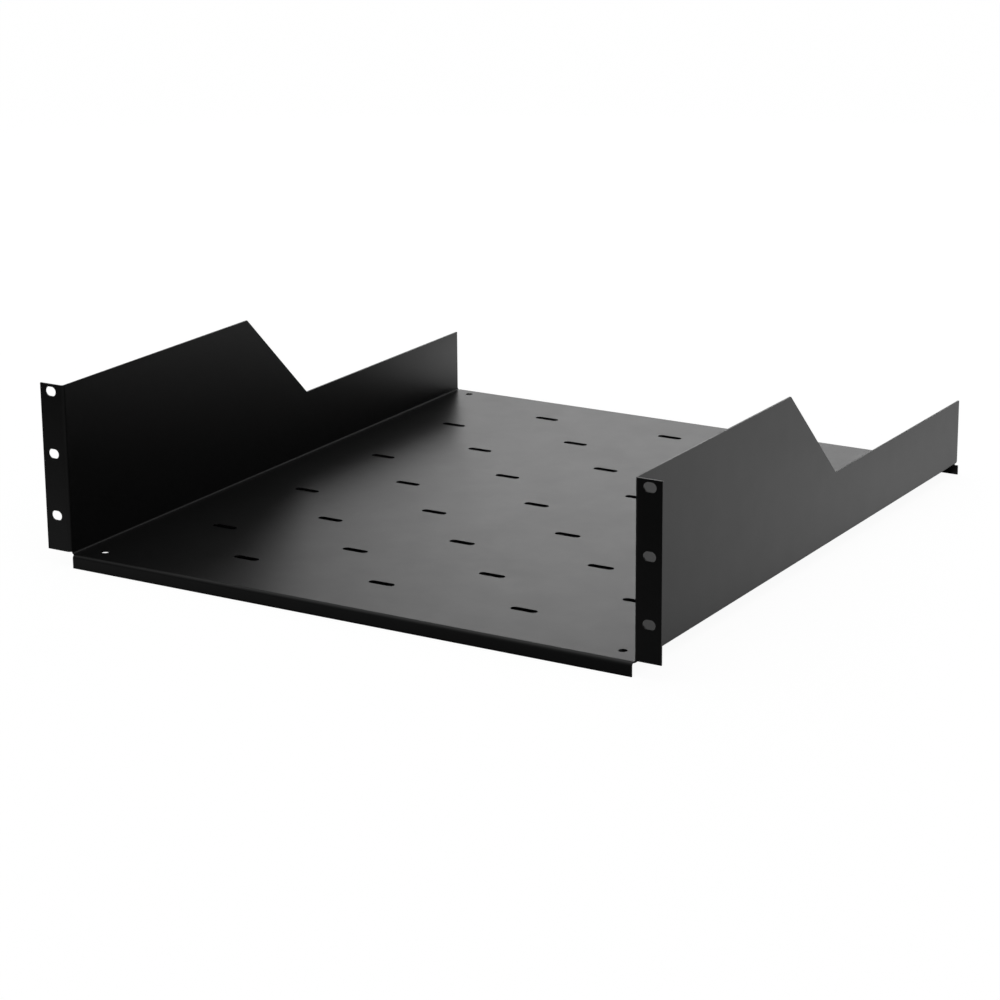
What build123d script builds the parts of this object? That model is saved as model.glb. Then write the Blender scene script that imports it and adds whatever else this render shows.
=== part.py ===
from build123d import *
import os

# Cantilever rack shelf, folded from one flat steel blank, in millimetres.
# The tray opens upwards and its ears face -Y.
# While it is built, y = 0 is the ears' front face and z = 0 is the underside of the pan.
# At the end it is moved so that its origin is the bottom centre of its box.

# Sheet
sheet = 1.2
bend_inside = 1.5

# Tray, over the outside faces: the walls from the pan's underside, the lips from its top face
shelf_depth = 515.0
wall_height = 122.0
lip_height = 9.8

# Side walls: full height in front, a straight slope, then a low run to the back
slope_start = 217.5
slope_end = 292.5
low_wall_height = 50.0

# Rack ears, each measured out from the wall, and their mounting holes
ear_span = 482.6
ear_width = 18.3
rack_unit = 44.45
hole_rows = 3
hole_height = 6.8
hole_length = 9.0
hole_side_inset = 8.75
top_hole_inset = 5.2

# Vent slots in the pan, in staggered rows
slot_length = 20.0
slot_width = 6.0
slot_row_pitch = 51.8
slot_stagger = 55.5
first_row_inset = 54.0
slot_side_margin = 30.0
slot_rear_margin = 30.0

# Small round holes near the pan's corners
corner_hole_diameter = 6.0
corner_hole_side_inset = 18.0
corner_hole_front_inset = 17.0
corner_hole_rear_inset = 12.0

# Worked out from the sizes above
bend_outside = bend_inside + sheet
body_width = ear_span - 2 * ear_width
half_width = body_width / 2
ear_bend_x = half_width + bend_inside
pan_half_width = half_width - bend_outside
channel_front = bend_outside
channel_rear = shelf_depth - bend_outside
top_hole_z = wall_height - top_hole_inset


def slab_between(section, start, end):
    """Extrude a section drawn in X and Z from y = start to y = end."""
    return Pos(0, start, 0) * extrude(Plane.XZ * section, amount=start - end)


def bend_section():
    """Section of a quarter bend about (0, 0), from straight up to the left."""
    ring = Circle(bend_outside) - Circle(bend_inside)
    return ring & Rectangle(bend_outside, bend_outside, align=(Align.MAX, Align.MIN))


def leaf_section(reach):
    """Section of the flat leaf that runs down from that bend, to a reach from the bend's far face."""
    leaf = Rectangle(sheet, reach - bend_outside, align=(Align.MIN, Align.MAX))
    return Pos(-bend_outside, 0) * leaf


def make_channel():
    """Pan and side walls: a U channel with its two lower bends."""
    outside = Rectangle(body_width, wall_height, align=(Align.CENTER, Align.MIN))
    outside = fillet(outside.vertices().group_by(Axis.Y)[0], bend_outside)
    inside_width = body_width - 2 * sheet
    inside_height = wall_height - sheet
    inside = Rectangle(inside_width, inside_height, align=(Align.CENTER, Align.MIN))
    inside = fillet(inside.vertices().group_by(Axis.Y)[0], bend_inside)
    return slab_between(outside - Pos(0, sheet) * inside, channel_front, channel_rear)


def make_wall_relief():
    """What is cut from both walls: the slope and all that lies above the low run."""
    corners = [
        (slope_start, wall_height),
        (slope_end, low_wall_height),
        (shelf_depth, low_wall_height),
        (shelf_depth, wall_height),
    ]
    profile = Plane.YZ * make_face(Polyline(*corners, close=True))
    return extrude(profile, amount=half_width, both=True)


def make_lip(leaf_half_width):
    """Front edge of the pan, folded down between the side bends; its leaf may be wider than the fold."""
    line = Plane((0, channel_front, -bend_inside), x_dir=(0, 1, 0), z_dir=(1, 0, 0))
    fold = extrude(line * bend_section(), amount=pan_half_width, both=True)
    leaf = extrude(line * leaf_section(lip_height), amount=leaf_half_width, both=True)
    return fold + leaf


def make_right_ear():
    """Ear of the right wall, folded outwards; it starts above the pan's side bend."""
    section = Rot(0, 0, 90) * (bend_section() + leaf_section(sheet + ear_width))
    place = Pos(ear_bend_x, channel_front, bend_outside)
    return place * extrude(section, amount=wall_height - bend_outside)


def make_ear_holes():
    """Cutters for the slotted mounting holes, one rack unit apart on each ear."""
    obround = SlotOverall(hole_length, hole_height)
    cutter = slab_between(obround, 0, sheet)
    cutters = []
    for side in (-1, 1):
        for row in range(hole_rows):
            x = side * (ear_span / 2 - hole_side_inset)
            cutters.append(Pos(x, 0, top_hole_z - row * rack_unit) * cutter)
    return cutters


def make_slots():
    """Cutters for the vent slots: every other row is shifted by half the slots' spacing."""
    cutter = extrude(SlotOverall(slot_length, slot_width), amount=sheet)
    x_limit = half_width - slot_side_margin - slot_length / 2
    y_limit = shelf_depth - slot_rear_margin - slot_width / 2
    rows = int((y_limit - first_row_inset) // slot_row_pitch) + 1
    steps = int(x_limit // slot_stagger)
    cutters = []
    for row in range(rows):
        for step in range(-steps, steps + 1):
            if (step + row) % 2 == 0:
                y = first_row_inset + row * slot_row_pitch
                cutters.append(Pos(step * slot_stagger, y, 0) * cutter)
    return cutters


def make_corner_holes():
    """Cutters for the round hole in each corner of the pan."""
    cutter = extrude(Circle(corner_hole_diameter / 2), amount=sheet)
    x = half_width - corner_hole_side_inset
    cutters = []
    for side in (-1, 1):
        for y in (corner_hole_front_inset, shelf_depth - corner_hole_rear_inset):
            cutters.append(Pos(side * x, y, 0) * cutter)
    return cutters


def make_shelf():
    """The whole folded sheet, as one solid."""
    front_lip = make_lip(pan_half_width)
    rear_lip = mirror(make_lip(half_width), about=Plane.XZ.offset(-shelf_depth / 2))
    right_ear = make_right_ear()
    left_ear = mirror(right_ear, about=Plane.YZ)
    shelf = make_channel() - make_wall_relief()
    shelf = shelf + [front_lip, rear_lip, right_ear, left_ear]
    shelf = shelf - make_ear_holes() - make_slots() - make_corner_holes()
    return Pos(0, -shelf_depth / 2, lip_height - sheet) * shelf


os.makedirs("parts", exist_ok=True)
shelf = make_shelf()
shelf.label = "shelf"
export_step(shelf, "parts/shelf.step")
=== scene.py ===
import math

import bmesh
import bpy
from mathutils import Matrix, Vector


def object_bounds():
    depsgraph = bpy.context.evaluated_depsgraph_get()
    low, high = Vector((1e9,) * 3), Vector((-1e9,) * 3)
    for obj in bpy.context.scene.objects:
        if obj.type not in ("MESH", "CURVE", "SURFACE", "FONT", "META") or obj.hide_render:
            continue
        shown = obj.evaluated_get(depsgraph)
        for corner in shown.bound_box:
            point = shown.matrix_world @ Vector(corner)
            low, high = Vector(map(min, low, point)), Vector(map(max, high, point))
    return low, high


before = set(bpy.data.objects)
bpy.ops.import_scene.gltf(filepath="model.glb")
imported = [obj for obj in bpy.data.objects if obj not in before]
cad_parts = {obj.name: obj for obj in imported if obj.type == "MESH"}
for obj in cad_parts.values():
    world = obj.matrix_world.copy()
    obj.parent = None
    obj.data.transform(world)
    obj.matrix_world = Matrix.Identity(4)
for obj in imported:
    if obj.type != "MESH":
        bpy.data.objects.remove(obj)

cad_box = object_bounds()
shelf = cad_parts["shelf"]
MM = 0.001

# All lengths are in metres. A ramp is (start, end, value at the start, value at the end).

# Camera of the photograph, in the row frame

CAMERA_PLACE = Vector((1.0790, -1.8459, 0.6656))
CAMERA_AIM = Vector((-0.0233, -0.0092, 0.0133))
CAMERA_ROLL = math.radians(-0.43)
CAMERA_LENS = 110.76
SENSOR_WIDTH = 36.0
CLIP_START = 0.05
CLIP_END = 60.0

# Coating: its colour on the flats and where it is thin, its gloss, and how both vary

COAT_BLACK = (0.0007, 0.0007, 0.0008)
COAT_WORN = (0.004, 0.004, 0.0042)
COAT_IOR = 1.5
GLOSS_RAMP = (0.30, 0.70, 0.348, 0.372)
TONE_RAMP = (0.35, 0.70, 0.0, 0.25)

# Thin coat along cut edges: how far it reaches, and what it adds to the colour and to the polish

WEAR_RADIUS = 0.6 * MM
WEAR_SAMPLES = 6
WEAR_RAMP = (0.99, 0.80, 0.0, 1.0)
WEAR_SHARE = 0.6
WEAR_POLISH = 0.03

# Powder texture, each noise as cells per metre, detail and roughness

PEBBLES = (900.0, 1.0, 0.4)
GRAINS = (2600.0, 1.0, 0.5)
GLOSS_PATCHES = (45.0, 3.0, 0.6)
TONE_PATCHES = (160.0, 4.0, 0.65)
GRAIN_SHARE = 0.35
RELIEF_STRENGTH = 0.10
RELIEF_DEPTH = 0.05 * MM

# Smoothing of the facets: nearer points are joined, and sharper edges stay sharp

WELD_DISTANCE = 0.002 * MM
SHARP_ANGLE = math.radians(50.0)
AREA_WEIGHT = 100

# Surround: a sky that rises from the horizon, a bright patch overhead, and a fill from front right

SKY_RAMP = (0.0, 1.0, 0.0, 0.90)
SKY_CURVE = 2.0
OVERHEAD_LEVEL = 2.0
OVERHEAD_CURVE = 24.0
FILL_RAMP = (0.30, 0.65, 0.0, 0.60)
FILL_TURN = math.radians(45.0)

# White floor: its own tone, what it adds for the camera, and how far the painted shade under the pan
# reaches, where the glow is left out

FLOOR_SIZE = 14.0
FLOOR_DROP = 0.05 * MM
FLOOR_WHITE = (0.1, 0.1, 0.1)
FLOOR_GLOW = 0.94
PAINTED_SHADE_CENTRE = -0.002
PAINTED_SHADE_SIDES_RAMP = (0.2105, 0.2115, 0.0, 1.0)
PAINTED_SHADE_ENDS_RAMP = (0.2555, 0.2575, 0.0, 1.0)

# Painted reflection beside the walls: the floor glows for glossy rays only, graded for what shiny faces see
# there; where it starts, outwards, and from front to back

PAINTED_REFLECTION_BESIDE_EDGE_RAMP = (0.215, 0.235, 0.0, 1.0)
PAINTED_REFLECTION_BESIDE_OUTWARD_RAMP = (0.29, 0.40, 1.0, 0.75)
PAINTED_REFLECTION_BESIDE_ALONG_RAMP = (-0.2, 0.2, 0.46, 0.88)

# Painted reflection behind the rear lip: the floor glows for glossy rays only, graded backwards and from
# left to right

PAINTED_REFLECTION_BEHIND_AWAY_RAMP = (0.27, 0.40, 0.03, 1.50)
PAINTED_REFLECTION_BEHIND_ACROSS_RAMP = (-0.14, -0.05, 1.0, 0.02)

# Painted reflection: a card in front that glows faintly for glossy rays only, graded so that the ears and
# the front lip reflect it dark

CARD_WIDTH = 3.0
CARD_DEPTH = 1.6
CARD_CENTRE_X = -0.5
CARD_GAP = 1 * MM
CARD_LIFT = 0.5 * MM
CARD_ACROSS_RAMP = (-0.25, 0.25, 0.18, 0.07)
CARD_AWAY_RAMP = (-0.65, -0.30, 0.1, 1.2)
CARD_NEAR_RAMP = (-0.30, -0.262, 1.0, 0.68)

# Lights behind the shelf, whose blurred images leave a sheen on the pan and a line on the left fold.
# The base is how high the lower edge is, and the turn is in degrees to the left of straight behind.

LIGHT_DISTANCE = 1.7
LIGHTS = {
    "softbox": dict(level=2.66, width=0.66, height=0.40, base=0.35, turn=23.0),
    "tall light": dict(level=1.15, width=0.24, height=1.30, base=0.0, turn=38.0),
    "high light": dict(level=1.20, width=0.80, height=0.30, base=0.85, turn=-3.0),
}


def node(tree, kind, **settings):
    """Add a node of the given kind and set its properties."""
    made = tree.nodes.new(kind)
    for name, value in settings.items():
        setattr(made, name, value)
    return made


def new_material(name):
    """A node material with nothing but an output: the material, its tree and that output."""
    material = bpy.data.materials.new(name)
    material.use_nodes = True
    tree = material.node_tree
    tree.nodes.clear()
    output = node(tree, "ShaderNodeOutputMaterial")
    return material, tree, output


def noise(tree, vector, cells):
    """Noise on the given vector, from cells per metre, detail and roughness; gives the Fac socket."""
    made = node(tree, "ShaderNodeTexNoise")
    for name, number in zip(("Scale", "Detail", "Roughness"), cells):
        made.inputs[name].default_value = number
    tree.links.new(vector, made.inputs["Vector"])
    return made.outputs["Fac"]


def remap(tree, value, ramp):
    """Map Range along a ramp, held level beyond its ends; gives the Result socket."""
    made = node(tree, "ShaderNodeMapRange", clamp=True)
    tree.links.new(value, made.inputs["Value"])
    for name, number in zip(("From Min", "From Max", "To Min", "To Max"), ramp):
        made.inputs[name].default_value = number
    return made.outputs["Result"]


def math_node(tree, operation, *values):
    """Math node on sockets and numbers; gives its result."""
    made = node(tree, "ShaderNodeMath", operation=operation)
    for slot, value in enumerate(values):
        if isinstance(value, (int, float)):
            made.inputs[slot].default_value = value
        else:
            tree.links.new(value, made.inputs[slot])
    return made.outputs[0]


def product(tree, first, *others):
    """All the given sockets and numbers multiplied together."""
    for other in others:
        first = math_node(tree, "MULTIPLY", first, other)
    return first


def edge_wear_group():
    """Group: how far a spot is along a sharp edge of the sheet, from 0 on flats to 1 on the edge."""
    group = bpy.data.node_groups.new("thin coat at edges", "ShaderNodeTree")
    group.interface.new_socket("Radius", in_out="INPUT", socket_type="NodeSocketFloat")
    group.interface.new_socket("Mask", in_out="OUTPUT", socket_type="NodeSocketFloat")
    source = node(group, "NodeGroupInput")
    result = node(group, "NodeGroupOutput")
    rounded = node(group, "ShaderNodeBevel", samples=WEAR_SAMPLES)
    group.links.new(source.outputs["Radius"], rounded.inputs["Radius"])
    flat = node(group, "ShaderNodeNewGeometry")
    dot = node(group, "ShaderNodeVectorMath", operation="DOT_PRODUCT")
    group.links.new(rounded.outputs["Normal"], dot.inputs[0])
    group.links.new(flat.outputs["Normal"], dot.inputs[1])
    group.links.new(remap(group, dot.outputs["Value"], WEAR_RAMP), result.inputs["Mask"])
    return group


def powder_texture_group():
    """Group: the fine pebbled relief of powder coat, its gloss variation and its tone variation."""
    group = bpy.data.node_groups.new("powder coat texture", "ShaderNodeTree")
    group.interface.new_socket("Vector", in_out="INPUT", socket_type="NodeSocketVector")
    for name in ("Relief", "Gloss", "Tone"):
        group.interface.new_socket(name, in_out="OUTPUT", socket_type="NodeSocketFloat")
    source = node(group, "NodeGroupInput")
    result = node(group, "NodeGroupOutput")
    vector = source.outputs["Vector"]
    grains = product(group, noise(group, vector, GRAINS), GRAIN_SHARE)
    relief = math_node(group, "ADD", noise(group, vector, PEBBLES), grains)
    group.links.new(relief, result.inputs["Relief"])
    group.links.new(noise(group, vector, GLOSS_PATCHES), result.inputs["Gloss"])
    group.links.new(noise(group, vector, TONE_PATCHES), result.inputs["Tone"])
    return group


def powder_coat():
    """Black fine-textured powder coat on steel: semi-gloss, a little thinner and paler at the edges."""
    material, tree, output = new_material("black powder coat")
    place = node(tree, "ShaderNodeTexCoord")
    texture = node(tree, "ShaderNodeGroup")
    texture.node_tree = powder_texture_group()
    tree.links.new(place.outputs["Object"], texture.inputs["Vector"])
    wear = node(tree, "ShaderNodeGroup")
    wear.node_tree = edge_wear_group()
    wear.inputs["Radius"].default_value = WEAR_RADIUS

    colour = node(tree, "ShaderNodeMix", data_type="RGBA")
    colour.inputs["A"].default_value = (*COAT_BLACK, 1.0)
    colour.inputs["B"].default_value = (*COAT_WORN, 1.0)
    tone = remap(tree, texture.outputs["Tone"], TONE_RAMP)
    shade = math_node(tree, "MAXIMUM", tone, product(tree, wear.outputs["Mask"], WEAR_SHARE))
    tree.links.new(shade, colour.inputs["Factor"])

    gloss = remap(tree, texture.outputs["Gloss"], GLOSS_RAMP)
    roughness = math_node(tree, "SUBTRACT", gloss, product(tree, wear.outputs["Mask"], WEAR_POLISH))

    bump = node(tree, "ShaderNodeBump")
    bump.inputs["Strength"].default_value = RELIEF_STRENGTH
    bump.inputs["Distance"].default_value = RELIEF_DEPTH
    tree.links.new(texture.outputs["Relief"], bump.inputs["Height"])

    paint = node(tree, "ShaderNodeBsdfPrincipled")
    paint.inputs["IOR"].default_value = COAT_IOR
    tree.links.new(colour.outputs["Result"], paint.inputs["Base Color"])
    tree.links.new(roughness, paint.inputs["Roughness"])
    tree.links.new(bump.outputs["Normal"], paint.inputs["Normal"])
    tree.links.new(paint.outputs["BSDF"], output.inputs["Surface"])
    return material


def smooth_group():
    """Geometry group: smooth faces, with the edges beyond SHARP_ANGLE kept sharp."""
    group = bpy.data.node_groups.new("smooth by angle", "GeometryNodeTree")
    group.interface.new_socket("Geometry", in_out="INPUT", socket_type="NodeSocketGeometry")
    group.interface.new_socket("Geometry", in_out="OUTPUT", socket_type="NodeSocketGeometry")
    source = node(group, "NodeGroupInput")
    result = node(group, "NodeGroupOutput")
    faces = node(group, "GeometryNodeSetShadeSmooth", domain="FACE")
    edges = node(group, "GeometryNodeSetShadeSmooth", domain="EDGE")
    edges.inputs["Shade Smooth"].default_value = False
    angle = node(group, "GeometryNodeInputMeshEdgeAngle")
    sharp = node(group, "FunctionNodeCompare", operation="GREATER_THAN")
    sharp.inputs["B"].default_value = SHARP_ANGLE
    group.links.new(angle.outputs["Unsigned Angle"], sharp.inputs["A"])
    group.links.new(source.outputs["Geometry"], faces.inputs["Geometry"])
    group.links.new(faces.outputs["Geometry"], edges.inputs["Geometry"])
    group.links.new(sharp.outputs["Result"], edges.inputs["Selection"])
    group.links.new(edges.outputs["Geometry"], result.inputs["Geometry"])
    return group


def finish_shelf():
    """Coat the folded sheet, and shade its bends smooth and its flats flat without touching its mesh."""
    shelf.data.materials.clear()
    shelf.data.materials.append(powder_coat())
    weld = shelf.modifiers.new("weld the facets", "WELD")
    weld.merge_threshold = WELD_DISTANCE
    smooth = shelf.modifiers.new("smooth the bends", "NODES")
    smooth.node_group = smooth_group()
    flats = shelf.modifiers.new("even the flats", "WEIGHTED_NORMAL")
    flats.mode = "FACE_AREA"
    flats.weight = AREA_WEIGHT
    flats.keep_sharp = True


def flat_sheet(name, width, depth, centre, material):
    """A level sheet that belongs to the stage."""
    mesh = bpy.data.meshes.new(name)
    grid = bmesh.new()
    bmesh.ops.create_grid(grid, x_segments=1, y_segments=1, size=0.5)
    bmesh.ops.scale(grid, vec=(width, depth, 1.0), verts=grid.verts)
    bmesh.ops.translate(grid, vec=centre, verts=grid.verts)
    grid.to_mesh(mesh)
    grid.free()
    sheet = bpy.data.objects.new(name, mesh)
    bpy.context.scene.collection.objects.link(sheet)
    mesh.materials.append(material)
    return sheet


def coordinates(tree, space):
    """X, Y and Z of the shaded point in the given space."""
    place = node(tree, "ShaderNodeTexCoord")
    split = node(tree, "ShaderNodeSeparateXYZ")
    tree.links.new(place.outputs[space], split.inputs["Vector"])
    return split.outputs["X"], split.outputs["Y"], split.outputs["Z"]


def seen_directly(tree, rays):
    """1 for camera and transmission rays, and 0 for all others."""
    return math_node(tree, "MAXIMUM", rays.outputs["Is Camera Ray"], rays.outputs["Is Transmission Ray"])


def floor_material():
    """Matt floor that takes the shelf's shadow, glows white to the camera, and glows in part to shiny faces
    as a painted reflection.

    The glow stops under the pan, a painted shade added to the real shadow on the matt part there, so that
    the vent slots look down into the dark.
    """
    material, tree, output = new_material("white floor")
    x, y, _ = coordinates(tree, "Object")
    # Painted shade: the glow is left out over the pan's footprint, so the floor under the pan stays dark
    from_centre = math_node(tree, "ABSOLUTE", math_node(tree, "SUBTRACT", x, PAINTED_SHADE_CENTRE))
    past_sides = remap(tree, from_centre, PAINTED_SHADE_SIDES_RAMP)
    past_ends = remap(tree, math_node(tree, "ABSOLUTE", y), PAINTED_SHADE_ENDS_RAMP)
    clear = math_node(tree, "MAXIMUM", past_sides, past_ends)

    aside = math_node(tree, "ABSOLUTE", x)
    edge = remap(tree, aside, PAINTED_REFLECTION_BESIDE_EDGE_RAMP)
    outward = remap(tree, aside, PAINTED_REFLECTION_BESIDE_OUTWARD_RAMP)
    beside = product(tree, remap(tree, y, PAINTED_REFLECTION_BESIDE_ALONG_RAMP), edge, outward)
    behind = product(tree, remap(tree, y, PAINTED_REFLECTION_BEHIND_AWAY_RAMP), remap(tree, x, PAINTED_REFLECTION_BEHIND_ACROSS_RAMP))

    rays = node(tree, "ShaderNodeLightPath")
    # Painted reflection: the floor beside the walls and behind the rear lip glows for glossy rays only
    painted_reflection = product(tree, math_node(tree, "MAXIMUM", beside, behind), rays.outputs["Is Glossy Ray"])
    glow = math_node(tree, "ADD", product(tree, seen_directly(tree, rays), FLOOR_GLOW), painted_reflection)
    matt = node(tree, "ShaderNodeBsdfDiffuse")
    matt.inputs["Color"].default_value = (*FLOOR_WHITE, 1.0)
    light = node(tree, "ShaderNodeEmission")
    tree.links.new(product(tree, glow, clear), light.inputs["Strength"])
    both = node(tree, "ShaderNodeAddShader")
    tree.links.new(matt.outputs["BSDF"], both.inputs[0])
    tree.links.new(light.outputs["Emission"], both.inputs[1])
    tree.links.new(both.outputs["Shader"], output.inputs["Surface"])
    return material


def painted_reflection_card_material():
    """Painted reflection card: an almost black glow, palest on the left and a little in front of the shelf.
    """
    material, tree, output = new_material("painted reflection card")
    x, y, _ = coordinates(tree, "Object")
    across = remap(tree, x, CARD_ACROSS_RAMP)
    away = remap(tree, y, CARD_AWAY_RAMP)
    near = remap(tree, y, CARD_NEAR_RAMP)
    light = node(tree, "ShaderNodeEmission")
    # Painted reflection: the card's glow is graded across, away from and near the shelf
    tree.links.new(product(tree, away, near, across), light.inputs["Strength"])
    tree.links.new(light.outputs["Emission"], output.inputs["Surface"])
    return material


def make_floor():
    """White floor under the lips, and a painted reflection card in front that only reflections see."""
    flat_sheet("white floor", FLOOR_SIZE, FLOOR_SIZE, (0.0, 0.0, -FLOOR_DROP), floor_material())
    card_y = cad_box[0].y - CARD_GAP - CARD_DEPTH / 2
    card_centre = (CARD_CENTRE_X, card_y, CARD_LIFT)
    card = flat_sheet("painted reflection card", CARD_WIDTH, CARD_DEPTH, card_centre, painted_reflection_card_material())
    card.visible_camera = False
    card.visible_diffuse = False
    card.visible_transmission = False
    card.visible_shadow = False


def make_world():
    """Studio surround: a sky from dark to pale, a patch overhead, a fill, and plain white to the camera."""
    world = bpy.data.worlds.new("studio")
    bpy.context.scene.world = world
    world.use_nodes = True
    tree = world.node_tree
    tree.nodes.clear()
    output = node(tree, "ShaderNodeOutputWorld")
    x, y, z = coordinates(tree, "Generated")
    above = math_node(tree, "MAXIMUM", z, 0.0)
    sky = remap(tree, math_node(tree, "POWER", above, SKY_CURVE), SKY_RAMP)
    overhead = product(tree, math_node(tree, "POWER", above, OVERHEAD_CURVE), OVERHEAD_LEVEL)
    rightward = product(tree, x, math.sin(FILL_TURN))
    backward = product(tree, y, math.cos(FILL_TURN))
    fill = remap(tree, math_node(tree, "SUBTRACT", rightward, backward), FILL_RAMP)
    level = math_node(tree, "ADD", math_node(tree, "ADD", sky, overhead), fill)
    rays = node(tree, "ShaderNodeLightPath")
    background = node(tree, "ShaderNodeBackground")
    strength = math_node(tree, "MAXIMUM", level, seen_directly(tree, rays))
    tree.links.new(strength, background.inputs["Strength"])
    tree.links.new(background.outputs["Background"], output.inputs["Surface"])


def make_light(name, level, width, height, base, turn):
    """Upright soft light behind the shelf, that faces it and that the camera doesn't see."""
    data = bpy.data.lights.new(name, "AREA")
    data.shape = "RECTANGLE"
    data.size = width
    data.size_y = height
    data.energy = math.pi * width * height * level
    light = bpy.data.objects.new(name, data)
    bpy.context.scene.collection.objects.link(light)
    angle = math.radians(turn)
    away = Vector((-math.sin(angle), math.cos(angle), 0.0))
    light.location = away * LIGHT_DISTANCE + Vector((0.0, 0.0, base + height / 2))
    light.rotation_mode = "QUATERNION"
    light.rotation_quaternion = (-away).to_track_quat("-Z", "Y")
    light.visible_camera = False


def make_camera():
    """Camera where the photograph was taken from, with its slight roll."""
    data = bpy.data.cameras.new("photo camera")
    data.lens = CAMERA_LENS
    data.sensor_width = SENSOR_WIDTH
    data.clip_start = CLIP_START
    data.clip_end = CLIP_END
    camera = bpy.data.objects.new("photo camera", data)
    bpy.context.scene.collection.objects.link(camera)
    level = (CAMERA_AIM - CAMERA_PLACE).to_track_quat("-Z", "Y").to_matrix().to_4x4()
    camera.matrix_world = Matrix.Translation(CAMERA_PLACE) @ level @ Matrix.Rotation(CAMERA_ROLL, 4, "Z")
    bpy.context.scene.camera = camera


make_camera()
make_world()
for light_name, sizes in LIGHTS.items():
    make_light(light_name, **sizes)
make_floor()
finish_shelf()
bpy.context.scene.view_settings.view_transform = "Standard"
